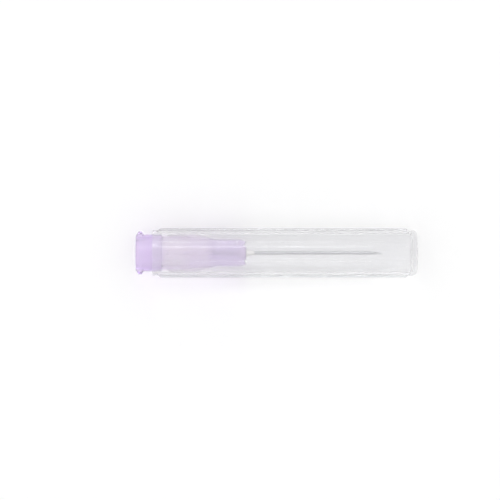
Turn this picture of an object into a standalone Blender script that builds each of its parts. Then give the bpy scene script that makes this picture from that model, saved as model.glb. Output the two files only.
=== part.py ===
"""Hypodermic needle with its protective cap, as it comes to rest on a table.

+X runs along the needle towards its point, +Z is up, and the origin is on the table under the middle.
Places along the needle are measured from the hub's open end and are called "along" below.
"""

import math

import bmesh
import bpy
from mathutils import Matrix

MM = 0.001

# Cannula: 24 gauge tube, regular wall
CANNULA_OUTER_D = 0.57 * MM
CANNULA_BORE_D = 0.31 * MM
NEEDLE_REACH = 25.0 * MM  # from the hub's nose to the point
CANNULA_HELD = 5.8 * MM  # length inside the hub
CANNULA_CLEARANCE = 0.04 * MM  # all round, in the hub's hole

# Point: one long ground facet and two short steeper ones at its sides
BEVEL_ANGLE = math.radians(12)
SIDE_BEVEL_ANGLE = math.radians(16)
SIDE_BEVEL_TURN = math.radians(40)
BEVEL_LEAD = 0.1 * MM  # the long facet would leave the tube this far in front of the point
BEVEL_FACING = math.radians(-45)  # turn about the needle's axis from facing straight up

# Hub: female conical socket with 6 % taper, lock lugs, and fins that the cap grips
SOCKET_MOUTH_D = 4.30 * MM
SOCKET_TAPER = 0.06
SOCKET_DEPTH = 9.0 * MM
THROAT_D = 2.4 * MM
THROAT_LEAD = 0.9 * MM  # cone between the socket and the throat
FUNNEL_LENGTH = 0.8 * MM  # cone between the throat and the cannula
COLLAR_D = 6.70 * MM
COLLAR_LENGTH = 4.7 * MM
LUG_HEIGHT = 0.55 * MM
LUG_WIDTH = 3.5 * MM
LUG_SETBACK = 0.1 * MM  # from the hub's open end
LUG_ROOT_LENGTH = 1.3 * MM
LUG_CREST_LENGTH = 0.6 * MM
CORE_D = 5.6 * MM
FIN_COUNT = 4
FIN_SPAN = 6.80 * MM
FIN_THICKNESS = 0.9 * MM
FIN_GAP = 1.3 * MM  # bare core between the collar and the fins
FIN_LENGTH = 5.0 * MM
FIN_RUN_OUT = 3.4 * MM
NOSE_D = 4.9 * MM
NOSE_TIP_D = 3.1 * MM
NOSE_LENGTH = 5.6 * MM
NOSE_ROUND_LENGTH = 1.4 * MM
WELL_D = 1.9 * MM
WELL_DEPTH = 2.2 * MM
HUB_EDGE = 0.15 * MM

# Adhesive bead that fills the well and climbs the cannula
ADHESIVE_GAP = 0.02 * MM
ADHESIVE_CLIMB = 1.5 * MM
ADHESIVE_TOE = 0.05 * MM  # thickness of the bead where it thins out

# Cap: straight tube with a closed end
CAP_WALL = 0.65 * MM
CAP_END_WALL = 0.9 * MM
CAP_CLEARANCE = 0.1 * MM  # all round, on the hub's fins and core
CAP_OVERLAP = 1.7 * MM  # how far the mouth reaches back over the collar
CAP_SEAT_GAP = 0.05 * MM  # between the grip ribs and the collar's shoulder
POINT_ROOM = 5.1 * MM  # free length in front of the point
CAP_END_ROUND = 0.9 * MM
CAP_BORE_ROUND = 0.6 * MM
CAP_EDGE = 0.15 * MM
GATE_DIMPLE_D = 2.6 * MM
GATE_DIMPLE_DEPTH = 0.2 * MM

# Ribs outside the cap keep it from rolling, and ribs in its mouth sit between the hub's fins
RIB_COUNT = 8
RIB_HEIGHT = 0.65 * MM
RIB_WIDTH = 0.8 * MM
RIB_START = 0.6 * MM  # from the cap's mouth
RIB_STOP = 1.2 * MM  # from the cap's closed end
RIB_RUN_OUT = 1.0 * MM
RIB_TIP_WIDTH = 0.2 * MM  # where a rib's crest has sunk into the wall
GRIP_RIB_COUNT = 4
GRIP_RIB_WIDTH = 0.9 * MM
GRIP_RIB_LENGTH = 6.0 * MM
GRIP_RIB_RUN_OUT = 3.0 * MM

# Facets
ROUND_STEPS = 64
CANNULA_STEPS = 32
ARC_STEPS = 6
LUG_STEPS = 10
RIB_ARC_STEPS = 8

# Places along the needle that follow from the sizes
FINS_START = COLLAR_LENGTH + FIN_GAP
FINS_END = FINS_START + FIN_LENGTH
NOSE_START = FINS_END + FIN_RUN_OUT
HUB_LENGTH = NOSE_START + NOSE_LENGTH
CANNULA_START = HUB_LENGTH - CANNULA_HELD
POINT = HUB_LENGTH + NEEDLE_REACH
CAP_MOUTH = COLLAR_LENGTH - CAP_OVERLAP
CAP_BORE_END = POINT + POINT_ROOM
CAP_END = CAP_BORE_END + CAP_END_WALL

# Radii that follow from the sizes
COLLAR_R = COLLAR_D / 2
CORE_R = CORE_D / 2
FIN_R = FIN_SPAN / 2
NOSE_R = NOSE_D / 2
THROAT_R = THROAT_D / 2
LUG_R = COLLAR_R + LUG_HEIGHT
CANNULA_R = CANNULA_OUTER_D / 2
HOLE_R = CANNULA_R + CANNULA_CLEARANCE
SOCKET_END_R = (SOCKET_MOUTH_D - SOCKET_TAPER * SOCKET_DEPTH) / 2
CAP_BORE_R = max(COLLAR_R, FIN_R) + CAP_CLEARANCE
CAP_R = CAP_BORE_R + CAP_WALL
RIB_R = CAP_R + RIB_HEIGHT
RIB_ROOT_R = (CAP_BORE_R + CAP_R) / 2
GRIP_R = CORE_R + CAP_CLEARANCE

# The cap lies on two neighbouring ribs, each half a rib's pitch from straight down
RIB_PITCH = 2 * math.pi / RIB_COUNT
AXIS_HEIGHT = (RIB_R - RIB_WIDTH / 2) * math.cos(RIB_PITCH / 2) + RIB_WIDTH / 2
HUB_FACE_X = -CAP_END / 2


def clear_scene():
    """Removes whatever the file held."""
    for old in list(bpy.data.objects):
        bpy.data.objects.remove(old)


def material(name, colour, roughness, metallic=0.0, transmission=0.0):
    """A Principled material in one colour."""
    made = bpy.data.materials.new(name)
    made.use_nodes = True
    shader = made.node_tree.nodes["Principled BSDF"]
    shader.inputs["Base Color"].default_value = (*colour, 1.0)
    shader.inputs["Roughness"].default_value = roughness
    shader.inputs["Metallic"].default_value = metallic
    shader.inputs["Transmission Weight"].default_value = transmission
    return made


def add_object(name, bm, finish=None, along=0.0):
    """Puts a finished bmesh in the scene, on the needle's axis, with its origin at the place given."""
    bmesh.ops.recalc_face_normals(bm, faces=bm.faces)
    mesh = bpy.data.meshes.new(name)
    bm.to_mesh(mesh)
    bm.free()
    mesh.transform(Matrix.Translation((-along, 0, 0)))
    made = bpy.data.objects.new(name, mesh)
    made.location = (HUB_FACE_X + along, 0, AXIS_HEIGHT)
    bpy.context.collection.objects.link(made)
    if finish:
        mesh.materials.append(finish)
    mesh.shade_smooth()
    mesh.set_sharp_from_angle(angle=math.radians(30))
    return made


def helper(obj):
    """Marks a cutter or a piece that is joined to another, so that it isn't shown by itself."""
    obj.hide_render = True
    obj.display_type = "WIRE"
    return obj


def combine(obj, other, operation):
    """Adds a Boolean with another object."""
    boolean = obj.modifiers.new(other.name, "BOOLEAN")
    boolean.operation = operation
    boolean.solver = "EXACT"
    boolean.object = helper(other)


def arc(centre, radii, start, end, steps=ARC_STEPS):
    """Points of an elliptical arc as (along, radius), from one angle to another, in degrees."""
    angles = [math.radians(start + (end - start) * i / steps) for i in range(steps + 1)]
    return [(centre[0] + radii[0] * math.cos(a), centre[1] + radii[1] * math.sin(a)) for a in angles]


def turned(profile, steps, closed, sweep=2 * math.pi):
    """Turns (along, radius) points about the needle's axis. A sweep under a full turn gets flat ends."""
    bm = bmesh.new()
    points = [bm.verts.new((along, 0, radius)) for along, radius in profile]
    pairs = list(zip(points, points[1:]))
    if closed:
        pairs.append((points[-1], points[0]))
    edges = [bm.edges.new(pair) for pair in pairs]
    full = sweep == 2 * math.pi
    start = Matrix.Rotation(0 if full else -sweep / 2, 3, "X")
    bmesh.ops.rotate(bm, matrix=start, verts=points)
    spun = bmesh.ops.spin(
        bm, geom=points + edges, axis=(1, 0, 0), cent=(0, 0, 0), angle=sweep, steps=steps, use_merge=full
    )
    if not full:
        last = [item for item in spun["geom_last"] if isinstance(item, bmesh.types.BMEdge)]
        bmesh.ops.contextual_create(bm, geom=edges)
        bmesh.ops.contextual_create(bm, geom=last)
    bmesh.ops.remove_doubles(bm, verts=bm.verts, dist=0.0001 * MM)
    return bm


def plate(outline, thickness, turn):
    """A flat plate that holds the axis's plane, from (along, radius) points, turned about the axis."""
    bm = bmesh.new()
    face = bm.faces.new([bm.verts.new((along, -thickness / 2, radius)) for along, radius in outline])
    grown = bmesh.ops.extrude_face_region(bm, geom=[face])
    top = [item for item in grown["geom"] if isinstance(item, bmesh.types.BMVert)]
    bmesh.ops.translate(bm, verts=top, vec=(0, thickness, 0))
    bmesh.ops.rotate(bm, matrix=Matrix.Rotation(turn, 3, "X"), verts=bm.verts)
    return bm


def rib(stations, root_radius, turn):
    """A rib with a round crest, lofted through (along, crest radius, width) stations and turned."""
    bm = bmesh.new()
    sections = []
    for along, crest, width in stations:
        half = width / 2
        section = [bm.verts.new((along, -half, root_radius))]
        for i in range(RIB_ARC_STEPS + 1):
            angle = math.pi * i / RIB_ARC_STEPS
            height = crest - half + half * math.sin(angle)
            section.append(bm.verts.new((along, -half * math.cos(angle), height)))
        section.append(bm.verts.new((along, half, root_radius)))
        sections.append(section)
    for first, second in zip(sections, sections[1:]):
        count = len(first)
        for i in range(count):
            bm.faces.new((first[i], first[(i + 1) % count], second[(i + 1) % count], second[i]))
    bm.faces.new(sections[0])
    bm.faces.new(sections[-1])
    bmesh.ops.rotate(bm, matrix=Matrix.Rotation(turn, 3, "X"), verts=bm.verts)
    return bm


def hub_profile():
    """The hub's turned section: outside from the mouth to the nose, then the passage back."""
    outside = [
        (0, COLLAR_R - HUB_EDGE),
        (HUB_EDGE, COLLAR_R),
        (COLLAR_LENGTH - HUB_EDGE, COLLAR_R),
        (COLLAR_LENGTH, COLLAR_R - HUB_EDGE),
        (COLLAR_LENGTH, CORE_R),
        (FINS_END, CORE_R),
        (NOSE_START, NOSE_R),
    ]
    nose_round = arc(
        (HUB_LENGTH - NOSE_ROUND_LENGTH, NOSE_TIP_D / 2), (NOSE_ROUND_LENGTH, NOSE_R - NOSE_TIP_D / 2), 90, 0
    )
    passage = [
        (HUB_LENGTH, WELL_D / 2),
        (HUB_LENGTH - WELL_DEPTH, HOLE_R),
        (CANNULA_START, HOLE_R),
        (CANNULA_START - FUNNEL_LENGTH, THROAT_R),
        (SOCKET_DEPTH + THROAT_LEAD, THROAT_R),
        (SOCKET_DEPTH, SOCKET_END_R),
        (0, SOCKET_MOUTH_D / 2),
    ]
    return outside + nose_round + passage


def make_lug(turn):
    """One lock lug: a short sector with sloping flanks on the collar's outer edge."""
    flank = (LUG_ROOT_LENGTH - LUG_CREST_LENGTH) / 2
    inside = (COLLAR_R + SOCKET_MOUTH_D / 2) / 2
    section = [
        (LUG_SETBACK, inside),
        (LUG_SETBACK, COLLAR_R),
        (LUG_SETBACK + flank, LUG_R),
        (LUG_SETBACK + flank + LUG_CREST_LENGTH, LUG_R),
        (LUG_SETBACK + LUG_ROOT_LENGTH, COLLAR_R),
        (LUG_SETBACK + LUG_ROOT_LENGTH, inside),
    ]
    bm = turned(section, LUG_STEPS, closed=True, sweep=2 * math.asin(LUG_WIDTH / 2 / LUG_R))
    bmesh.ops.rotate(bm, matrix=Matrix.Rotation(turn, 3, "X"), verts=bm.verts)
    return bm


def fin_outline():
    """Side view of one fin: it rises steeply behind the collar and meets the nose where that starts.

    Both ends go on into the middle of the wall.
    """
    back = (CORE_R + SOCKET_MOUTH_D / 2) / 2
    front = (NOSE_R + THROAT_R) / 2
    slope = (FIN_R - NOSE_R) / FIN_RUN_OUT
    return [
        (FINS_START - (FIN_R - back), back),
        (FINS_START, FIN_R),
        (FINS_END, FIN_R),
        (FINS_END + (FIN_R - front) / slope, front),
    ]


def make_hub():
    """The moulded hub, one piece with its lugs and fins."""
    finish = material("lilac_polypropylene", (0.66, 0.50, 0.84), 0.28, transmission=0.5)
    hub = add_object("hub", turned(hub_profile(), ROUND_STEPS, closed=True), finish)
    for i in range(2):
        lug = add_object(f"lug_{i + 1}", make_lug(math.radians(90 + 180 * i)))
        combine(hub, lug, "UNION")
    for i in range(FIN_COUNT):
        fin = plate(fin_outline(), FIN_THICKNESS, 2 * math.pi * i / FIN_COUNT)
        combine(hub, add_object(f"fin_{i + 1}", fin), "UNION")
    return hub


def grinding_block(angle, turn, lead):
    """Everything above a grinding plane that rises backwards at the angle, turned about the tube.

    The plane leaves the tube's far side in front of the point by the lead.
    """
    bm = bmesh.new()
    bmesh.ops.create_cube(bm, size=1.0)
    size = 4 * CANNULA_OUTER_D / math.sin(angle)
    bmesh.ops.scale(bm, vec=(size, size, size), verts=bm.verts)
    bmesh.ops.translate(bm, verts=bm.verts, vec=(0, 0, size / 2))
    bmesh.ops.rotate(bm, matrix=Matrix.Rotation(angle, 3, "Y"), verts=bm.verts)
    bmesh.ops.translate(bm, verts=bm.verts, vec=(POINT + lead, 0, -CANNULA_R * math.cos(turn)))
    facing = Matrix.Rotation(BEVEL_FACING + turn, 3, "X")
    bmesh.ops.rotate(bm, matrix=facing, verts=bm.verts)
    return bm


def make_cannula():
    """The steel tube, cut square at the back and ground to a point in front."""
    blank_end = POINT + 2 * BEVEL_LEAD
    section = [
        (CANNULA_START, CANNULA_BORE_D / 2),
        (CANNULA_START, CANNULA_R),
        (blank_end, CANNULA_R),
        (blank_end, CANNULA_BORE_D / 2),
    ]
    blank = turned(section, CANNULA_STEPS, closed=True)
    half_facet = math.pi / CANNULA_STEPS  # the point falls in the middle of a facet
    bmesh.ops.rotate(blank, matrix=Matrix.Rotation(half_facet, 3, "X"), verts=blank.verts)
    finish = material("stainless_steel", (0.78, 0.78, 0.80), 0.2, metallic=1.0)
    cannula = add_object("cannula", blank, finish, along=CANNULA_START)
    grinds = {
        "long_bevel": (BEVEL_ANGLE, 0.0, BEVEL_LEAD),
        "left_bevel": (SIDE_BEVEL_ANGLE, SIDE_BEVEL_TURN, 0.0),
        "right_bevel": (SIDE_BEVEL_ANGLE, -SIDE_BEVEL_TURN, 0.0),
    }
    for name, (angle, turn, lead) in grinds.items():
        combine(cannula, add_object(name, grinding_block(angle, turn, lead)), "DIFFERENCE")
    return cannula


def make_adhesive():
    """The cured bead: a cone in the hub's well, with a hollow curve up to the cannula."""
    inner = CANNULA_R + ADHESIVE_GAP
    brim = WELL_D / 2 - ADHESIVE_GAP
    slope = (WELL_D / 2 - HOLE_R) / WELL_DEPTH
    toe = HUB_LENGTH - (brim - inner - ADHESIVE_TOE) / slope
    meniscus = arc(
        (HUB_LENGTH + ADHESIVE_CLIMB, brim), (ADHESIVE_CLIMB, brim - inner - ADHESIVE_TOE), -180, -90
    )
    section = [(toe, inner), (toe, inner + ADHESIVE_TOE)] + meniscus + [(HUB_LENGTH + ADHESIVE_CLIMB, inner)]
    finish = material("clear_adhesive", (0.93, 0.92, 0.88), 0.1, transmission=0.9)
    return add_object("adhesive", turned(section, CANNULA_STEPS, closed=True), finish)


def cap_profile():
    """The cap's turned section: bore from its closed end to the mouth, then the outside back to the end."""
    bore = [(CAP_BORE_END, 0)] + arc(
        (CAP_BORE_END - CAP_BORE_ROUND, CAP_BORE_R - CAP_BORE_ROUND), (CAP_BORE_ROUND, CAP_BORE_ROUND), 0, 90
    )
    mouth = [
        (CAP_MOUTH + CAP_EDGE, CAP_BORE_R),
        (CAP_MOUTH, CAP_BORE_R + CAP_EDGE),
        (CAP_MOUTH, CAP_R - CAP_EDGE),
        (CAP_MOUTH + CAP_EDGE, CAP_R),
    ]
    end = arc((CAP_END - CAP_END_ROUND, CAP_R - CAP_END_ROUND), (CAP_END_ROUND, CAP_END_ROUND), 90, 0)
    gate = [
        (CAP_END, GATE_DIMPLE_D / 2),
        (CAP_END - GATE_DIMPLE_DEPTH, GATE_DIMPLE_D / 2 - GATE_DIMPLE_DEPTH),
        (CAP_END - GATE_DIMPLE_DEPTH, 0),
    ]
    return bore + mouth + end + gate


def rib_stations():
    """Where an outside rib's crest runs: out of the wall, along, and back into it."""
    start = CAP_MOUTH + RIB_START
    stop = CAP_END - RIB_STOP
    hidden = RIB_ROOT_R + RIB_TIP_WIDTH
    return [
        (start, hidden, RIB_TIP_WIDTH),
        (start + RIB_RUN_OUT, RIB_R, RIB_WIDTH),
        (stop - RIB_RUN_OUT, RIB_R, RIB_WIDTH),
        (stop, hidden, RIB_TIP_WIDTH),
    ]


def grip_rib_outline():
    """Side view of one grip rib: it stops on the collar's shoulder and runs out into the bore."""
    seat = COLLAR_LENGTH + CAP_SEAT_GAP
    stop = seat + GRIP_RIB_LENGTH
    buried = (CAP_BORE_R + CAP_R) / 2
    return [(seat, buried), (seat, GRIP_R), (stop - GRIP_RIB_RUN_OUT, GRIP_R), (stop, buried)]


def make_cap():
    """The cap, one piece with its outside ribs and the grip ribs in its mouth."""
    finish = material("clear_polypropylene", (0.93, 0.94, 0.95), 0.22, transmission=0.9)
    cap = add_object("cap", turned(cap_profile(), ROUND_STEPS, closed=False), finish, along=CAP_MOUTH)
    for i in range(RIB_COUNT):
        outside = rib(rib_stations(), RIB_ROOT_R, RIB_PITCH * (i + 0.5))
        combine(cap, add_object(f"rib_{i + 1}", outside), "UNION")
    for i in range(GRIP_RIB_COUNT):
        grip = plate(grip_rib_outline(), GRIP_RIB_WIDTH, 2 * math.pi * (i + 0.5) / GRIP_RIB_COUNT)
        combine(cap, add_object(f"grip_rib_{i + 1}", grip), "UNION")
    return cap


def main():
    clear_scene()
    make_hub()
    make_cannula()
    make_adhesive()
    make_cap()


main()
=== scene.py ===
"""Looks of a capped hypodermic needle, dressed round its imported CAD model.

Every piece is rebuilt at the CAD's sizes as rings of points round the needle's axis, so that lugs, fins and
ribs run softly into the plastic as moulded ones do. Places on the needle are given as "along", the distance
from the hub's open end, and turns about its axis are angles from straight up.
"""

import math

import bmesh
import bpy
from mathutils import Matrix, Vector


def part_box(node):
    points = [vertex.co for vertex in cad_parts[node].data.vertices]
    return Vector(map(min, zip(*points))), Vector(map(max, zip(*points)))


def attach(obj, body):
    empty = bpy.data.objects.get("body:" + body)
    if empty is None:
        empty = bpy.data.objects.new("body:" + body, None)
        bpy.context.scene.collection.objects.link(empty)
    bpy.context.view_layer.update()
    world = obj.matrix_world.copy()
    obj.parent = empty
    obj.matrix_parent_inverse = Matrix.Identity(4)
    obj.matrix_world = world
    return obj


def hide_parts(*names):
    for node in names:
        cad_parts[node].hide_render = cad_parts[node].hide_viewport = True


MM = 0.001

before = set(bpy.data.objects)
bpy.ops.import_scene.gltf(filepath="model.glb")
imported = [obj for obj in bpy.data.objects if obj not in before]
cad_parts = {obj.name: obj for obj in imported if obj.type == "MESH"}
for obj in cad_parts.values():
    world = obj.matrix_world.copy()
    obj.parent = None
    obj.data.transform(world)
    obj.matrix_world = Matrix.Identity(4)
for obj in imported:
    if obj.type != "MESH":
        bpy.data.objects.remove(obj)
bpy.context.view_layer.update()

# Places read from the frame
HUB_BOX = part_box("hub")
CANNULA_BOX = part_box("cannula")
ADHESIVE_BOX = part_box("adhesive")
CAP_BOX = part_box("cap")
HUB_FACE_X = HUB_BOX[0][0]
AXIS_Z = (CAP_BOX[0][2] + CAP_BOX[1][2]) / 2
HUB_LENGTH = HUB_BOX[1][0] - HUB_FACE_X
CANNULA_START = CANNULA_BOX[0][0] - HUB_FACE_X
POINT = CANNULA_BOX[1][0] - HUB_FACE_X
ADHESIVE_START = ADHESIVE_BOX[0][0] - HUB_FACE_X
ADHESIVE_END = ADHESIVE_BOX[1][0] - HUB_FACE_X
ADHESIVE_R = (ADHESIVE_BOX[1][1] - ADHESIVE_BOX[0][1]) / 2
LUG_R = (HUB_BOX[1][1] - HUB_BOX[0][1]) / 2
FIN_R = (HUB_BOX[1][2] - HUB_BOX[0][2]) / 2
CAP_MOUTH = CAP_BOX[0][0] - HUB_FACE_X
CAP_END = CAP_BOX[1][0] - HUB_FACE_X

# Hub
COLLAR_R = 3.35 * MM
COLLAR_LENGTH = 4.7 * MM
LUG_COUNT = 2
LUG_WIDTH = 3.5 * MM
LUG_START = 0.1 * MM
LUG_ROOT_LENGTH = 1.3 * MM
LUG_CREST_LENGTH = 0.6 * MM
LUG_CREST_ROUND = 0.05 * MM
LUG_SIDE_RUN = 0.2 * MM
LUG_FILLET = 0.04 * MM
CORE_R = 2.8 * MM
FIN_COUNT = 4
FIN_THICKNESS = 0.9 * MM
FINS_START = 6.0 * MM
FINS_END = 11.0 * MM
FIN_RAMP_ROUND = 0.3 * MM
FIN_CREST_ROUND = 0.12 * MM
FIN_SIDE_INSET = 0.12 * MM
FIN_SIDE_OUTSET = 0.06 * MM
FIN_FILLET = 0.06 * MM
NOSE_START = 14.4 * MM
NOSE_FINE_LENGTH = 1.0 * MM
NOSE_R = 2.45 * MM
NOSE_TIP_R = 1.55 * MM
NOSE_ROUND_LENGTH = 1.4 * MM
WELL_R = 0.95 * MM
WELL_DEPTH = 2.2 * MM
HOLE_R = 0.325 * MM
FUNNEL_LENGTH = 0.8 * MM
THROAT_R = 1.2 * MM
THROAT_LEAD = 0.9 * MM
SOCKET_DEPTH = 9.0 * MM
SOCKET_MOUTH_R = 2.15 * MM
SOCKET_END_R = 1.88 * MM
HUB_EDGE = 0.15 * MM
HUB_FILLET = 0.2 * MM

# Stretch of the hub painted paler: partly because its walls are thin over part of it and show less colour,
# partly painted light that makes up for the light the hub loses under the cap
PALE_STRETCH_START = COLLAR_LENGTH + 0.3 * MM
PALE_STRETCH_END = 13.2 * MM
PALE_STRETCH_BLUR = 0.6 * MM

# Cannula
CANNULA_R = 0.285 * MM
CANNULA_BORE_R = 0.155 * MM
BEVEL_ANGLE = math.radians(12)
SIDE_BEVEL_ANGLE = math.radians(16)
SIDE_BEVEL_TURN = math.radians(40)
BEVEL_LEAD = 0.1 * MM
BEVEL_FACING = math.radians(-45)
BEVEL_ROOM = 4.0 * MM
GRINDING_BLOCK_RADII = 8

# Adhesive
ADHESIVE_INNER_R = 0.305 * MM
ADHESIVE_TOE = 0.05 * MM

# Cap
CAP_R = 4.15 * MM
CAP_BORE_R = 3.5 * MM
CAP_END_WALL = 0.9 * MM
CAP_END_ROUND = 0.9 * MM
CAP_BORE_ROUND = 0.6 * MM
CAP_BORE_CENTRE_R = 1.0 * MM
CAP_EDGE = 0.15 * MM
CAP_SEAT_GAP = 0.05 * MM
GATE_DIMPLE_R = 1.3 * MM
GATE_DIMPLE_DEPTH = 0.2 * MM
RIB_COUNT = 8
RIB_R = 4.8 * MM
RIB_WIDTH = 0.8 * MM
RIB_TIP_WIDTH = 0.2 * MM
RIB_START = 0.6 * MM
RIB_STOP = 1.2 * MM
RIB_RUN_OUT = 1.0 * MM
RIB_BLEND = 0.25 * MM
RIB_SIDE_SLOPE = 4
GRIP_RIB_COUNT = 4
GRIP_RIB_R = 2.9 * MM
GRIP_RIB_WIDTH = 0.9 * MM
GRIP_RIB_START = COLLAR_LENGTH + CAP_SEAT_GAP
GRIP_RIB_LENGTH = 6.0 * MM
GRIP_RIB_RUN_OUT = 3.0 * MM
GRIP_RIB_FACE = 0.1 * MM
GRIP_RIB_FINE_LENGTH = 0.2 * MM
GRIP_RIB_SIDE_INSET = 0.1 * MM
GRIP_RIB_SIDE_OUTSET = 0.08 * MM

# Fineness
HUB_ANGLES = 360
CAP_ANGLES = 480
SMALL_ANGLES = 96
FINE_STEP = 0.05 * MM
ARC_STEPS = 6
SHARP_ANGLE = math.radians(35)
GROUND_SHARP_ANGLE = math.radians(8)
SAME_POINT = 0.0001 * MM
STEP_SLACK = 1e-6

# Most values of a noise texture lie between these two
NOISE_LOW = 0.3
NOISE_HIGH = 0.7

# Studio: each lamp's name, place, size and the level of light it gives at the needle
LAMPS = [
    ("window", (-0.1, 0.85, 0.75), (0.8, 0.5), 0.107),
    ("fill", (0.1, -0.85, 0.75), (0.8, 0.5), 0.107),
    ("strip", (0.003, 0.7, 0.7), (0.1, 0.4), 0.1),
]
WORLD_LEVEL = 0.8
WORLD_SEEN_LEVEL = 1.0
FLOOR_HALF_WIDTH = 0.6
FLOOR_DROP = 0.02 * MM
FLOOR_GLOW = 0.08

# Camera, from where the needle lies in the photograph
PHOTO_WIDTH_PX = 500
PHOTO_HUB_FACE_PX = 136
PHOTO_AXIS_PX = 252.9
PHOTO_MM_PER_PX = 0.1815
CAMERA_DISTANCE = 0.6
CAMERA_CLIP_START = 0.01
SENSOR_WIDTH = 36


def smooth_step(value, low, high):
    """0 below low, 1 above high, and a smooth rise between them."""
    t = min(max((value - low) / (high - low), 0.0), 1.0)
    return t * t * (3 - 2 * t)


def soft_positive(value, softness):
    """The value where it is positive and 0 where it is negative, rounded off between."""
    if value <= -softness:
        return 0.0
    if value >= softness:
        return value
    return (value + softness) ** 2 / (4 * softness)


def soft_max(a, b, softness):
    """The larger of two lengths, with a fillet where they meet."""
    return b + soft_positive(a - b, softness)


def soft_min(a, b, softness):
    """The smaller of two lengths, rounded off where they meet."""
    return a - soft_positive(a - b, softness)


def across_crest(aside, width, inset, outset=0.0):
    """1 on the crest of a raised form and 0 beside it, falling softly from inside its edge to outside it."""
    return 1 - smooth_step(aside, width / 2 - inset, width / 2 + outset)


def arc(centre, radii, start, end, steps=ARC_STEPS):
    """Points of an elliptical arc as (along, radius), from one angle to another, in degrees."""
    angles = [math.radians(start + (end - start) * i / steps) for i in range(steps + 1)]
    return [(centre[0] + radii[0] * math.cos(a), centre[1] + radii[1] * math.sin(a)) for a in angles]


def line(start, end, step):
    """Points along a straight line of (along, radius), its ends included, no further apart than the step."""
    length = math.hypot(end[0] - start[0], end[1] - start[1])
    count = max(1, math.ceil(length / step - STEP_SLACK))
    return [tuple(a + (b - a) * i / count for a, b in zip(start, end)) for i in range(count + 1)]


def joined(*runs):
    """Several runs of points as one, without the points that two runs share."""
    points = []
    for run in runs:
        for point in run:
            if not points or math.dist(point, points[-1]) > SAME_POINT:
                points.append(point)
    return points


def angle_from(angle, count, offset=0.0):
    """How far an angle is from the nearest of a number of evenly spaced ones."""
    pitch = 2 * math.pi / count
    return (angle - offset * pitch + pitch / 2) % pitch - pitch / 2


def new_object(name, bm):
    """Puts a finished bmesh in the scene under a name."""
    bmesh.ops.recalc_face_normals(bm, faces=bm.faces)
    mesh = bpy.data.meshes.new(name)
    bm.to_mesh(mesh)
    bm.free()
    made = bpy.data.objects.new(name, mesh)
    bpy.context.collection.objects.link(made)
    return made


def add_ring(bm, along, radius, angle_count, shape):
    """The vertices of one ring round the axis, or one vertex where the radius is 0."""
    x = HUB_FACE_X + along
    if radius <= 0:
        return [bm.verts.new((x, 0, AXIS_Z))]
    ring = []
    for i in range(angle_count):
        angle = 2 * math.pi * i / angle_count
        r = shape(along, radius, angle) if shape else radius
        ring.append(bm.verts.new((x, r * math.sin(angle), AXIS_Z + r * math.cos(angle))))
    return ring


def lathe(name, profile, angle_count, shape=None, closed=True):
    """A piece whose rings follow (along, radius) points, each radius reshaped by shape(along, radius, angle).

    A closed profile comes back to its first point. An open one starts and ends on the axis.
    """
    bm = bmesh.new()
    rings = [add_ring(bm, along, radius, angle_count, shape) for along, radius in profile]
    pairs = list(zip(rings, rings[1:]))
    if closed:
        pairs.append((rings[-1], rings[0]))
    for first, second in pairs:
        for i in range(angle_count):
            j = (i + 1) % angle_count
            if len(first) == 1:
                bm.faces.new((first[0], second[j], second[i]))
            elif len(second) == 1:
                bm.faces.new((first[i], first[j], second[0]))
            else:
                bm.faces.new((first[i], first[j], second[j], second[i]))
    made = new_object(name, bm)
    made.data.shade_smooth()
    made.data.set_sharp_from_angle(angle=SHARP_ANGLE)
    return made


def lug_rise(along, angle):
    """How far the lock lugs lift the collar's surface."""
    flank = (LUG_ROOT_LENGTH - LUG_CREST_LENGTH) / 2
    height = LUG_R - COLLAR_R
    back = (along - LUG_START) * height / flank
    front = (LUG_START + LUG_ROOT_LENGTH - along) * height / flank
    crest = soft_min(soft_min(back, front, LUG_CREST_ROUND), height, LUG_CREST_ROUND)
    aside = abs(COLLAR_R * math.sin(angle_from(angle, LUG_COUNT, offset=0.5)))
    return soft_positive(crest, LUG_FILLET) * across_crest(aside, LUG_WIDTH, LUG_SIDE_RUN)


def fin_rise(along, radius, angle):
    """How far the fins lift the surface of the core and the nose."""
    back = FIN_R - (FINS_START - along)
    front = FIN_R - (along - FINS_END) * (FIN_R - NOSE_R) / (NOSE_START - FINS_END)
    crest = soft_min(soft_min(back, front, FIN_RAMP_ROUND), FIN_R, FIN_CREST_ROUND)
    aside = abs(FIN_R * math.sin(angle_from(angle, FIN_COUNT)))
    across = across_crest(aside, FIN_THICKNESS, FIN_SIDE_INSET, FIN_SIDE_OUTSET)
    return soft_positive(crest - radius, FIN_FILLET) * across


def hub_shape(along, radius, angle):
    """The hub's outside with its lugs and fins. Its passage stays round."""
    if radius < THROAT_R or (along < SOCKET_DEPTH and radius <= SOCKET_MOUTH_R + HUB_EDGE):
        return radius
    if along < COLLAR_LENGTH - HUB_EDGE:
        return radius + lug_rise(along, angle)
    if radius >= NOSE_TIP_R and along > COLLAR_LENGTH:
        return radius + fin_rise(along, radius, angle)
    return radius


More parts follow.
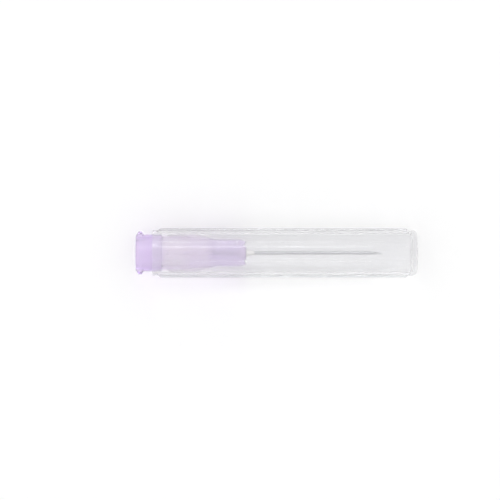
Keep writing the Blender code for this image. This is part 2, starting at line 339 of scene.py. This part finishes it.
def hub_outside():
    """The hub's outer section, from its mouth to its nose."""
    collar_edge = COLLAR_R - HUB_EDGE
    shoulder = COLLAR_LENGTH - HUB_EDGE
    lugs_end = LUG_START + LUG_ROOT_LENGTH + HUB_EDGE
    fins_begin = COLLAR_LENGTH + HUB_FILLET
    fins_full = FINS_START + 2 * HUB_FILLET
    nose_plain = NOSE_START + NOSE_FINE_LENGTH
    nose_round = HUB_LENGTH - NOSE_ROUND_LENGTH
    return joined(
        arc((HUB_EDGE, collar_edge), (HUB_EDGE, HUB_EDGE), 180, 90),
        line((HUB_EDGE, COLLAR_R), (lugs_end, COLLAR_R), FINE_STEP),
        line((lugs_end, COLLAR_R), (shoulder, COLLAR_R), 10 * FINE_STEP),
        arc((shoulder, collar_edge), (HUB_EDGE, HUB_EDGE), 90, 0),
        arc((fins_begin, CORE_R + HUB_FILLET), (HUB_FILLET, HUB_FILLET), 180, 270),
        line((fins_begin, CORE_R), (fins_full, CORE_R), FINE_STEP),
        line((fins_full, CORE_R), (FINS_END, CORE_R), 8 * FINE_STEP),
        line((FINS_END, CORE_R), (NOSE_START, NOSE_R), 3 * FINE_STEP),
        line((NOSE_START, NOSE_R), (nose_plain, NOSE_R), 2 * FINE_STEP),
        line((nose_plain, NOSE_R), (nose_round, NOSE_R), 10 * FINE_STEP),
        arc((nose_round, NOSE_TIP_R), (NOSE_ROUND_LENGTH, NOSE_R - NOSE_TIP_R), 90, 0, 3 * ARC_STEPS),
    )


def hub_passage():
    """The section of the hub's inside, from the glue well in its nose back to its mouth."""
    well_end = HUB_LENGTH - WELL_DEPTH
    funnel_start = CANNULA_START - FUNNEL_LENGTH
    throat_start = SOCKET_DEPTH + THROAT_LEAD
    return joined(
        line((HUB_LENGTH, NOSE_TIP_R), (HUB_LENGTH, WELL_R + HUB_EDGE / 2), 4 * FINE_STEP),
        line((HUB_LENGTH - HUB_EDGE / 2, WELL_R), (well_end, HOLE_R), 4 * FINE_STEP),
        line((well_end, HOLE_R), (CANNULA_START, HOLE_R), 10 * FINE_STEP),
        line((CANNULA_START, HOLE_R), (funnel_start, THROAT_R), 4 * FINE_STEP),
        line((funnel_start, THROAT_R), (throat_start, THROAT_R), 10 * FINE_STEP),
        line((throat_start, THROAT_R), (SOCKET_DEPTH, SOCKET_END_R), 4 * FINE_STEP),
        line((SOCKET_DEPTH, SOCKET_END_R), (HUB_EDGE, SOCKET_MOUTH_R), 10 * FINE_STEP),
        arc((HUB_EDGE, SOCKET_MOUTH_R + HUB_EDGE), (HUB_EDGE, HUB_EDGE), 270, 180),
    )


def make_hub():
    """The moulded hub."""
    return lathe("hub_moulding", joined(hub_outside(), hub_passage()), HUB_ANGLES, hub_shape)


def grinding_block(angle, turn, lead):
    """Everything above a grinding plane that rises backwards at the angle, turned about the tube."""
    size = GRINDING_BLOCK_RADII * CANNULA_R / math.sin(angle)
    bm = bmesh.new()
    bmesh.ops.create_cube(bm, size=size)
    bmesh.ops.translate(bm, verts=bm.verts, vec=(0, 0, size / 2))
    bmesh.ops.rotate(bm, matrix=Matrix.Rotation(angle, 3, "Y"), verts=bm.verts)
    bmesh.ops.translate(bm, verts=bm.verts, vec=(POINT + lead, 0, -CANNULA_R * math.cos(turn)))
    bmesh.ops.rotate(bm, matrix=Matrix.Rotation(BEVEL_FACING + turn, 3, "X"), verts=bm.verts)
    bmesh.ops.translate(bm, verts=bm.verts, vec=(HUB_FACE_X, 0, AXIS_Z))
    return new_object("grinding_block", bm)


def make_cannula():
    """The drawn tube, its point ground with one long facet and two steeper ones at its sides."""
    blank_end = POINT + 2 * BEVEL_LEAD
    profile = [
        (CANNULA_START, CANNULA_BORE_R),
        (CANNULA_START, CANNULA_R),
        (blank_end, CANNULA_R),
        (blank_end, CANNULA_BORE_R),
    ]
    tube = lathe("cannula_tube", profile, SMALL_ANGLES)
    grinds = [
        (BEVEL_ANGLE, 0.0, BEVEL_LEAD),
        (SIDE_BEVEL_ANGLE, SIDE_BEVEL_TURN, 0.0),
        (SIDE_BEVEL_ANGLE, -SIDE_BEVEL_TURN, 0.0),
    ]
    blocks = [grinding_block(*grind) for grind in grinds]
    for block in blocks:
        cut = tube.modifiers.new("grind", "BOOLEAN")
        cut.operation = "DIFFERENCE"
        cut.solver = "EXACT"
        cut.object = block
    ground = bpy.data.meshes.new_from_object(tube.evaluated_get(bpy.context.evaluated_depsgraph_get()))
    tube.modifiers.clear()
    tube.data = ground
    for block in blocks:
        bpy.data.objects.remove(block)
    ground.shade_smooth()
    ground.set_sharp_from_angle(angle=GROUND_SHARP_ANGLE)
    return tube


def is_ground(face):
    """Whether a face of the cannula is one of the ground facets, which slope along the tube."""
    near_point = face.center.x > HUB_FACE_X + POINT - BEVEL_ROOM
    return near_point and abs(face.normal.x) > math.sin(BEVEL_ANGLE) / 2


def make_adhesive():
    """The cured bead: a cone in the hub's well, with a hollow curve up to the tube."""
    inner = ADHESIVE_INNER_R
    toe = inner + ADHESIVE_TOE
    brim = ADHESIVE_R
    meniscus_radii = (ADHESIVE_END - HUB_LENGTH, brim - inner - ADHESIVE_TOE)
    profile = joined(
        line((ADHESIVE_START, inner), (ADHESIVE_START, toe), FINE_STEP),
        line((ADHESIVE_START, toe), (HUB_LENGTH, brim), 4 * FINE_STEP),
        arc((ADHESIVE_END, brim), meniscus_radii, -180, -90, 4 * ARC_STEPS),
        line((ADHESIVE_END, toe), (ADHESIVE_END, inner), FINE_STEP),
        line((ADHESIVE_END, inner), (ADHESIVE_START, inner), 8 * FINE_STEP)[:-1],
    )
    return lathe("adhesive_bead", profile, SMALL_ANGLES)


def rib_radius(along, angle):
    """Radius of the outside ribs' round crests, which sink into the wall at both ends."""
    start = CAP_MOUTH + RIB_START
    stop = CAP_END - RIB_STOP
    rise = smooth_step(along, start, start + RIB_RUN_OUT)
    fall = 1 - smooth_step(along, stop - RIB_RUN_OUT, stop)
    run = min(rise, fall)
    hidden = (CAP_BORE_R + CAP_R) / 2 + RIB_TIP_WIDTH
    half = (RIB_TIP_WIDTH + (RIB_WIDTH - RIB_TIP_WIDTH) * run) / 2
    centre = hidden + (RIB_R - hidden) * run - half
    turn = angle_from(angle, RIB_COUNT, offset=0.5)
    aside = abs(centre * math.sin(turn))
    if aside < half:
        return centre * math.cos(turn) + math.sqrt(half * half - aside * aside)
    return centre * math.cos(turn) - RIB_SIDE_SLOPE * (aside - half)


def grip_rib_depth(along, angle):
    """How far the grip ribs stand into the cap's bore."""
    stop = GRIP_RIB_START + GRIP_RIB_LENGTH
    rise = smooth_step(along, GRIP_RIB_START, GRIP_RIB_START + GRIP_RIB_FACE)
    fall = 1 - smooth_step(along, stop - GRIP_RIB_RUN_OUT, stop)
    turn = angle_from(angle, GRIP_RIB_COUNT, offset=0.5)
    aside = abs(GRIP_RIB_R * math.sin(turn))
    across = across_crest(aside, GRIP_RIB_WIDTH, GRIP_RIB_SIDE_INSET, GRIP_RIB_SIDE_OUTSET)
    return (CAP_BORE_R - GRIP_RIB_R / math.cos(turn)) * min(rise, fall) * across


def cap_shape(along, radius, angle):
    """The cap's wall with its ribs outside, and inside where the bore has its full width."""
    if radius >= CAP_R:
        return soft_max(rib_radius(along, angle), radius, RIB_BLEND)
    if radius == CAP_BORE_R:
        return radius - grip_rib_depth(along, angle)
    return radius


def cap_bore():
    """The section of the cap's bore, from its closed end to its mouth."""
    end = CAP_END - CAP_END_WALL
    straight_end = end - CAP_BORE_ROUND
    end_face_r = CAP_BORE_R - CAP_BORE_ROUND
    grip_stop = GRIP_RIB_START + GRIP_RIB_LENGTH
    grip_full = grip_stop - GRIP_RIB_RUN_OUT
    grip_fine = GRIP_RIB_START + GRIP_RIB_FINE_LENGTH
    return joined(
        [(end, 0)],
        line((end, CAP_BORE_CENTRE_R), (end, end_face_r), 20 * FINE_STEP),
        arc((straight_end, end_face_r), (CAP_BORE_ROUND, CAP_BORE_ROUND), 0, 90),
        line((straight_end, CAP_BORE_R), (grip_stop, CAP_BORE_R), 50 * FINE_STEP),
        line((grip_stop, CAP_BORE_R), (grip_full, CAP_BORE_R), 2 * FINE_STEP),
        line((grip_full, CAP_BORE_R), (grip_fine, CAP_BORE_R), 10 * FINE_STEP),
        line((grip_fine, CAP_BORE_R), (GRIP_RIB_START, CAP_BORE_R), FINE_STEP / 2),
        line((GRIP_RIB_START, CAP_BORE_R), (CAP_MOUTH + CAP_EDGE, CAP_BORE_R), 8 * FINE_STEP),
    )


def cap_outside():
    """The section of the cap's mouth and outside, from the mouth to the dimple in the closed end."""
    edge = CAP_MOUTH + CAP_EDGE
    ribs_full = CAP_MOUTH + RIB_START + RIB_RUN_OUT
    ribs_fade = CAP_END - RIB_STOP - RIB_RUN_OUT
    straight_end = CAP_END - CAP_END_ROUND
    end_face_r = CAP_R - CAP_END_ROUND
    dimple_floor = CAP_END - GATE_DIMPLE_DEPTH
    dimple_brim_r = GATE_DIMPLE_R + GATE_DIMPLE_DEPTH
    return joined(
        arc((edge, CAP_BORE_R + CAP_EDGE), (CAP_EDGE, CAP_EDGE), 270, 180),
        arc((edge, CAP_R - CAP_EDGE), (CAP_EDGE, CAP_EDGE), 180, 90),
        line((edge, CAP_R), (ribs_full, CAP_R), FINE_STEP),
        line((ribs_full, CAP_R), (ribs_fade, CAP_R), 40 * FINE_STEP),
        line((ribs_fade, CAP_R), (straight_end, CAP_R), FINE_STEP),
        arc((straight_end, end_face_r), (CAP_END_ROUND, CAP_END_ROUND), 90, 0, 2 * ARC_STEPS),
        line((CAP_END, end_face_r), (CAP_END, dimple_brim_r), 10 * FINE_STEP),
        arc((dimple_floor, dimple_brim_r), (GATE_DIMPLE_DEPTH, GATE_DIMPLE_DEPTH), 0, -90)[:-1],
        [(dimple_floor, GATE_DIMPLE_R), (dimple_floor, 0)],
    )


def make_cap():
    """The clear cap."""
    return lathe("cap_moulding", joined(cap_bore(), cap_outside()), CAP_ANGLES, cap_shape, closed=False)


def seen_rays(nodes, links):
    """1 for a ray from the camera or one that gloss or glass sends on, and 0 for light on its way."""
    path = nodes.new("ShaderNodeLightPath")
    seen = path.outputs["Is Camera Ray"]
    for kind in ("Is Glossy Ray", "Is Transmission Ray"):
        either = nodes.new("ShaderNodeMath")
        either.operation = "MAXIMUM"
        links.new(seen, either.inputs[0])
        links.new(path.outputs[kind], either.inputs[1])
        seen = either.outputs[0]
    return seen


class Finish:
    """A material under construction: one Principled shader and helpers that wire nodes to it."""

    def __init__(self, name, **sockets):
        self.material = bpy.data.materials.new(name)
        self.material.use_nodes = True
        self.nodes = self.material.node_tree.nodes
        self.links = self.material.node_tree.links
        self.shader = self.nodes["Principled BSDF"]
        self.output = self.nodes["Material Output"]
        self.place = self.nodes.new("ShaderNodeTexCoord").outputs["Object"]
        for socket, value in sockets.items():
            self.shader.inputs[socket.replace("_", " ")].default_value = value

    def feed(self, socket, source):
        """Lets a node's output drive one of the shader's sockets."""
        self.links.new(source, self.shader.inputs[socket])

    def noise(self, size, detail=2.0, stretch=(1, 1, 1)):
        """Noise with features of a size in metres, longer where stretch is over 1."""
        mapping = self.nodes.new("ShaderNodeMapping")
        mapping.inputs["Scale"].default_value = [1 / (size * s) for s in stretch]
        noise = self.nodes.new("ShaderNodeTexNoise")
        noise.inputs["Scale"].default_value = 1.0
        noise.inputs["Detail"].default_value = detail
        self.links.new(self.place, mapping.inputs["Vector"])
        self.links.new(mapping.outputs["Vector"], noise.inputs["Vector"])
        return noise.outputs["Fac"]

    def spread(self, source, low, high):
        """A number that runs from low to high with a noise."""
        node = self.nodes.new("ShaderNodeMapRange")
        node.inputs["From Min"].default_value = NOISE_LOW
        node.inputs["From Max"].default_value = NOISE_HIGH
        node.inputs["To Min"].default_value = low
        node.inputs["To Max"].default_value = high
        self.links.new(source, node.inputs["Value"])
        return node.outputs["Result"]

    def colour_mix(self, factor):
        """A node that mixes two colours by a factor."""
        mix = self.nodes.new("ShaderNodeMix")
        mix.data_type = "RGBA"
        self.links.new(factor, mix.inputs["Factor"])
        return mix

    def blend_colours(self, source, first, second):
        """A colour that runs between two with a noise."""
        mix = self.colour_mix(self.spread(source, 0, 1))
        mix.inputs["A"].default_value = (*first, 1)
        mix.inputs["B"].default_value = (*second, 1)
        return mix.outputs["Result"]

    def pick(self, factor, first, second):
        """One node's colour where the factor is 0 and another's where it is 1."""
        mix = self.colour_mix(factor)
        self.links.new(first, mix.inputs["A"])
        self.links.new(second, mix.inputs["B"])
        return mix.outputs["Result"]

    def between(self, start, end, blur):
        """1 between two places along the needle and 0 beyond them, with soft ends."""
        split = self.nodes.new("ShaderNodeSeparateXYZ")
        self.links.new(self.place, split.inputs["Vector"])
        both = self.nodes.new("ShaderNodeMath")
        both.operation = "MULTIPLY"
        for socket, (place, before, after) in zip(both.inputs, ((start, 0, 1), (end, 1, 0))):
            step = self.nodes.new("ShaderNodeMapRange")
            step.interpolation_type = "SMOOTHSTEP"
            step.inputs["From Min"].default_value = HUB_FACE_X + place - blur
            step.inputs["From Max"].default_value = HUB_FACE_X + place + blur
            step.inputs["To Min"].default_value = before
            step.inputs["To Max"].default_value = after
            self.links.new(split.outputs["X"], step.inputs["Value"])
            self.links.new(step.outputs["Result"], socket)
        return both.outputs[0]

    def absorb(self, colour, density):
        """Takes colour out of light by the depth of plastic that it passes."""
        depth = self.nodes.new("ShaderNodeVolumeAbsorption")
        depth.inputs["Color"].default_value = (*colour, 1)
        depth.inputs["Density"].default_value = density
        self.links.new(depth.outputs["Volume"], self.output.inputs["Volume"])

    def bump(self, source, height):
        """Relief of a height in metres."""
        node = self.nodes.new("ShaderNodeBump")
        node.inputs["Strength"].default_value = 1.0
        node.inputs["Distance"].default_value = height
        self.links.new(source, node.inputs["Height"])
        self.feed("Normal", node.outputs["Normal"])

    def glow_when_seen(self, strength):
        """Whitens what the camera, gloss and glass see of the surface, and lights nothing."""
        node = self.nodes.new("ShaderNodeMath")
        node.operation = "MULTIPLY"
        node.inputs[1].default_value = strength
        self.links.new(seen_rays(self.nodes, self.links), node.inputs[0])
        self.shader.inputs["Emission Color"].default_value = (1, 1, 1, 1)
        self.feed("Emission Strength", node.outputs[0])

    def let_lamps_through(self, tint=(1, 1, 1)):
        """Lamps shine through the surface, tinted, instead of leaving a solid shadow."""
        path = self.nodes.new("ShaderNodeLightPath")
        clear = self.nodes.new("ShaderNodeBsdfTransparent")
        clear.inputs["Color"].default_value = (*tint, 1)
        mix = self.nodes.new("ShaderNodeMixShader")
        self.links.new(path.outputs["Is Shadow Ray"], mix.inputs["Fac"])
        self.links.new(self.shader.outputs["BSDF"], mix.inputs[1])
        self.links.new(clear.outputs["BSDF"], mix.inputs[2])
        self.links.new(mix.outputs["Shader"], self.output.inputs["Surface"])


def lilac_plastic():
    """Translucent lilac polypropylene: deep where it is thick, paler along the body, where its walls are thin
    and where painted light makes up for the light lost under the cap, with a satin skin.
    """
    finish = Finish("lilac_plastic", Roughness=0.12, IOR=1.2, Transmission_Weight=0.72)
    clouds = finish.noise(3 * MM, detail=3, stretch=(3, 1, 1))
    thick_walls = finish.blend_colours(clouds, (0.88, 0.83, 0.94), (0.91, 0.85, 0.95))
    # Paler colour along the body: thin walls over part of it, and painted light for the light the hub loses
    # under the cap
    thin_walls_and_painted_light = finish.blend_colours(clouds, (1.0, 0.95, 1.0), (1.0, 0.97, 1.0))
    in_pale_stretch = finish.between(PALE_STRETCH_START, PALE_STRETCH_END, PALE_STRETCH_BLUR)
    finish.feed("Base Color", finish.pick(in_pale_stretch, thick_walls, thin_walls_and_painted_light))
    finish.feed("Roughness", finish.spread(finish.noise(0.6 * MM), low=0.09, high=0.15))
    finish.bump(finish.noise(0.15 * MM), height=0.0003 * MM)
    finish.absorb((0.55, 0.08, 0.99), density=60)
    finish.let_lamps_through()
    return finish.material


def clear_plastic():
    """Natural polypropylene: clear, a little grey by depth, with a milky breath and a softly glossy skin."""
    finish = Finish(
        "clear_plastic",
        Roughness=0.2,
        IOR=1.12,
        Transmission_Weight=0.9,
        Coat_Weight=0.4,
        Coat_Roughness=0.06,
        Coat_IOR=1.5,
    )
    clouds = finish.noise(4 * MM, detail=3, stretch=(4, 1, 1))
    skin = finish.noise(1.2 * MM, detail=2, stretch=(8, 1, 1))
    finish.feed("Base Color", finish.blend_colours(clouds, (0.92, 0.92, 0.93), (0.94, 0.94, 0.945)))
    finish.feed("Roughness", finish.spread(skin, low=0.16, high=0.24))
    finish.bump(finish.noise(0.5 * MM, detail=2, stretch=(4, 1, 1)), height=0.0001 * MM)
    finish.absorb((0.6, 0.6, 0.65), density=20)
    finish.let_lamps_through()
    return finish.material


def drawn_steel():
    """Stainless tube with drawing lines along it."""
    finish = Finish("drawn_steel", Metallic=1.0, Roughness=0.22)
    lines = finish.noise(0.03 * MM, detail=3, stretch=(60, 1, 1))
    # Darker than bare stainless: painted shade that stands in for dark surroundings reflected in the tube
    finish.feed("Base Color", finish.blend_colours(lines, (0.38, 0.38, 0.40), (0.48, 0.48, 0.50)))
    finish.feed("Roughness", finish.spread(lines, low=0.34, high=0.46))
    finish.bump(lines, height=0.0008 * MM)
    return finish.material


def ground_steel():
    """The facets of the point: steel with fine grinding lines across it, its colour a painted highlight of
    the light that the facets catch.
    """
    finish = Finish("ground_steel", Metallic=1.0, Roughness=0.2)
    lines = finish.noise(0.02 * MM, detail=3, stretch=(1, 40, 40))
    # Bright base colour: a painted highlight standing in for the lamp light the facets reflect
    finish.feed("Base Color", finish.blend_colours(lines, (0.80, 0.80, 0.82), (0.90, 0.90, 0.91)))
    finish.feed("Roughness", finish.spread(lines, low=0.15, high=0.28))
    return finish.material


def cured_adhesive():
    """Clear glossy epoxy with a trace of straw colour."""
    finish = Finish("cured_adhesive", Roughness=0.1, IOR=1.45, Transmission_Weight=0.3)
    clouds = finish.noise(0.5 * MM)
    finish.feed("Base Color", finish.blend_colours(clouds, (0.96, 0.95, 0.93), (0.98, 0.97, 0.95)))
    finish.let_lamps_through(tint=(0.96, 0.96, 0.95))
    return finish.material


def white_table():
    """Matt white table top with a faint grain."""
    finish = Finish("white_table", Roughness=0.6)
    grain = finish.noise(2 * MM, detail=4)
    finish.feed("Base Color", finish.blend_colours(grain, (0.93, 0.93, 0.93), (0.94, 0.94, 0.94)))
    finish.glow_when_seen(FLOOR_GLOW)
    return finish.material


def dress():
    """Builds the pieces, gives each its materials, and puts it on its CAD body."""
    looks = [
        (make_hub(), "needle", "hub", [lilac_plastic()]),
        (make_cannula(), "needle", "cannula", [drawn_steel(), ground_steel()]),
        (make_adhesive(), "needle", "adhesive", [cured_adhesive()]),
        (make_cap(), "cap", "cap", [clear_plastic()]),
    ]
    for piece, body, node, finishes in looks:
        piece.data.materials.clear()
        for finish in finishes:
            piece.data.materials.append(finish)
        if node == "cannula":
            for face in piece.data.polygons:
                face.material_index = 1 if is_ground(face) else 0
        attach(piece, body)
        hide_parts(node)


def make_floor():
    """A plain white table under the needle."""
    bm = bmesh.new()
    bmesh.ops.create_grid(bm, x_segments=1, y_segments=1, size=FLOOR_HALF_WIDTH)
    floor = new_object("floor", bm)
    floor.location.z = -FLOOR_DROP
    floor.data.materials.append(white_table())


def make_lamp(name, place, size, level):
    """A soft rectangular lamp that faces the needle and lights a white surface there to a level."""
    light = bpy.data.lights.new(name, "AREA")
    light.shape = "RECTANGLE"
    light.size, light.size_y = size
    distance_squared = sum(value * value for value in place)
    light.energy = level * math.pi * math.pi * distance_squared
    lamp = bpy.data.objects.new(name, light)
    lamp.location = place
    lamp.rotation_euler = lamp.location.to_track_quat("Z", "Y").to_euler()
    bpy.context.collection.objects.link(lamp)


def make_world(level, seen_level):
    """Even light all round, at one level for surfaces and another where gloss or glass shows it."""
    world = bpy.data.worlds.new("studio")
    world.use_nodes = True
    bpy.context.scene.world = world
    nodes = world.node_tree.nodes
    links = world.node_tree.links
    strength = nodes.new("ShaderNodeMapRange")
    strength.inputs["To Min"].default_value = level
    strength.inputs["To Max"].default_value = seen_level
    links.new(seen_rays(nodes, links), strength.inputs["Value"])
    background = nodes["Background"]
    background.inputs["Color"].default_value = (1, 1, 1, 1)
    links.new(strength.outputs["Result"], background.inputs["Strength"])


def make_camera():
    """Looks straight down, framed as the photograph is."""
    scale = PHOTO_MM_PER_PX * MM
    camera = bpy.data.objects.new("camera", bpy.data.cameras.new("camera"))
    camera.data.sensor_width = SENSOR_WIDTH
    camera.data.lens = SENSOR_WIDTH * CAMERA_DISTANCE / (PHOTO_WIDTH_PX * scale)
    camera.data.clip_start = CAMERA_CLIP_START
    camera.location = (
        HUB_FACE_X + (PHOTO_WIDTH_PX / 2 - PHOTO_HUB_FACE_PX) * scale,
        (PHOTO_AXIS_PX - PHOTO_WIDTH_PX / 2) * scale,
        AXIS_Z + CAMERA_DISTANCE,
    )
    bpy.context.collection.objects.link(camera)
    bpy.context.scene.camera = camera


def main():
    """Builds the whole scene."""
    dress()
    make_floor()
    make_world(WORLD_LEVEL, WORLD_SEEN_LEVEL)
    for lamp in LAMPS:
        make_lamp(*lamp)
    make_camera()
    bpy.context.scene.view_settings.view_transform = "Standard"


main()
